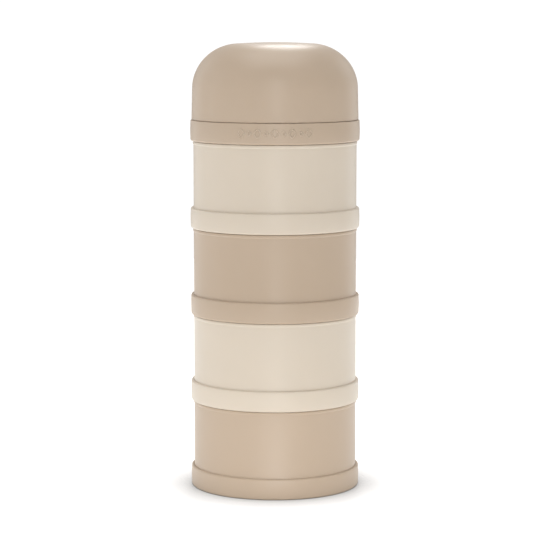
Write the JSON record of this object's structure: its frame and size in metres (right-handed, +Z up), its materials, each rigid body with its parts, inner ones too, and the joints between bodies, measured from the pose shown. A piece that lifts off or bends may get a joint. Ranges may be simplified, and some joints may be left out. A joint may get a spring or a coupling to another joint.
{
  "type": "formula dispenser",
  "caption": "Tall round stack of screw-together powder containers, with a pouring funnel lid under a domed cap.",
  "frame": {"origin": "on the stack's axis, at the level of the bottom rim that it stands on", "axes": "+Z up along the stack's axis, towards the dome cap; -Y is the front, where the ring's raised motif is"},
  "size_m": [0.075, 0.075, 0.1972],
  "materials": {
    "cap_tan": "satin moulded polypropylene, fine texture",
    "lid_tan": "satin moulded polypropylene, fine texture",
    "container_cream": "satin moulded polypropylene, fine texture",
    "container_tan": "satin moulded polypropylene, fine texture",
    "seal_silicone": "soft silicone, matt"
  },
  "bodies": {
    "base": {"container_4": "container_tan", "seal_4": "seal_silicone"},
    "seal_3": {"seal_3": "seal_silicone"},
    "container_3": {"container_3": "container_cream"},
    "seal_2": {"seal_2": "seal_silicone"},
    "container_2": {"container_2": "container_tan"},
    "seal_1": {"seal_1": "seal_silicone"},
    "container_1": {"container_1": "container_cream"},
    "pour_seal": {"pour_seal": "seal_silicone"},
    "pour_collar": {"pour_collar": "lid_tan"},
    "dome_cap": {"dome_cap": "cap_tan"}
  },
  "joints": [
    {"name": "container_3_rise", "type": "slide", "parent": "base", "child": "seal_3", "axis": [0, 0, 1], "range_m": [0, 0.012]},
    {"name": "container_3_turn", "type": "hinge", "parent": "seal_3", "child": "container_3", "pos_m": [0, 0, 0.0385], "axis": [0, 0, 1], "range_deg": [0, 360]},
    {"name": "container_2_rise", "type": "slide", "parent": "container_3", "child": "seal_2", "axis": [0, 0, 1], "range_m": [0, 0.012]},
    {"name": "container_2_turn", "type": "hinge", "parent": "seal_2", "child": "container_2", "pos_m": [0, 0, 0.077], "axis": [0, 0, 1], "range_deg": [0, 360]},
    {"name": "container_1_rise", "type": "slide", "parent": "container_2", "child": "seal_1", "axis": [0, 0, 1], "range_m": [0, 0.012]},
    {"name": "container_1_turn", "type": "hinge", "parent": "seal_1", "child": "container_1", "pos_m": [0, 0, 0.1155], "axis": [0, 0, 1], "range_deg": [0, 360]},
    {"name": "lid_rise", "type": "slide", "parent": "container_1", "child": "pour_seal", "axis": [0, 0, 1], "range_m": [0, 0.012]},
    {"name": "lid_turn", "type": "hinge", "parent": "pour_seal", "child": "pour_collar", "pos_m": [0, 0, 0.154], "axis": [0, 0, 1], "range_deg": [0, 360]},
    {"name": "cap_lift", "type": "slide", "parent": "pour_collar", "child": "dome_cap", "axis": [0, 0, 1], "range_m": [0, 0.035]}
  ],
  "couplings": [
    {"joint": "container_3_rise", "follows": "container_3_turn", "m_per_rad": 0.0019099},
    {"joint": "container_2_rise", "follows": "container_2_turn", "m_per_rad": 0.0019099},
    {"joint": "container_1_rise", "follows": "container_1_turn", "m_per_rad": 0.0019099},
    {"joint": "lid_rise", "follows": "lid_turn", "m_per_rad": 0.0019099}
  ]
}
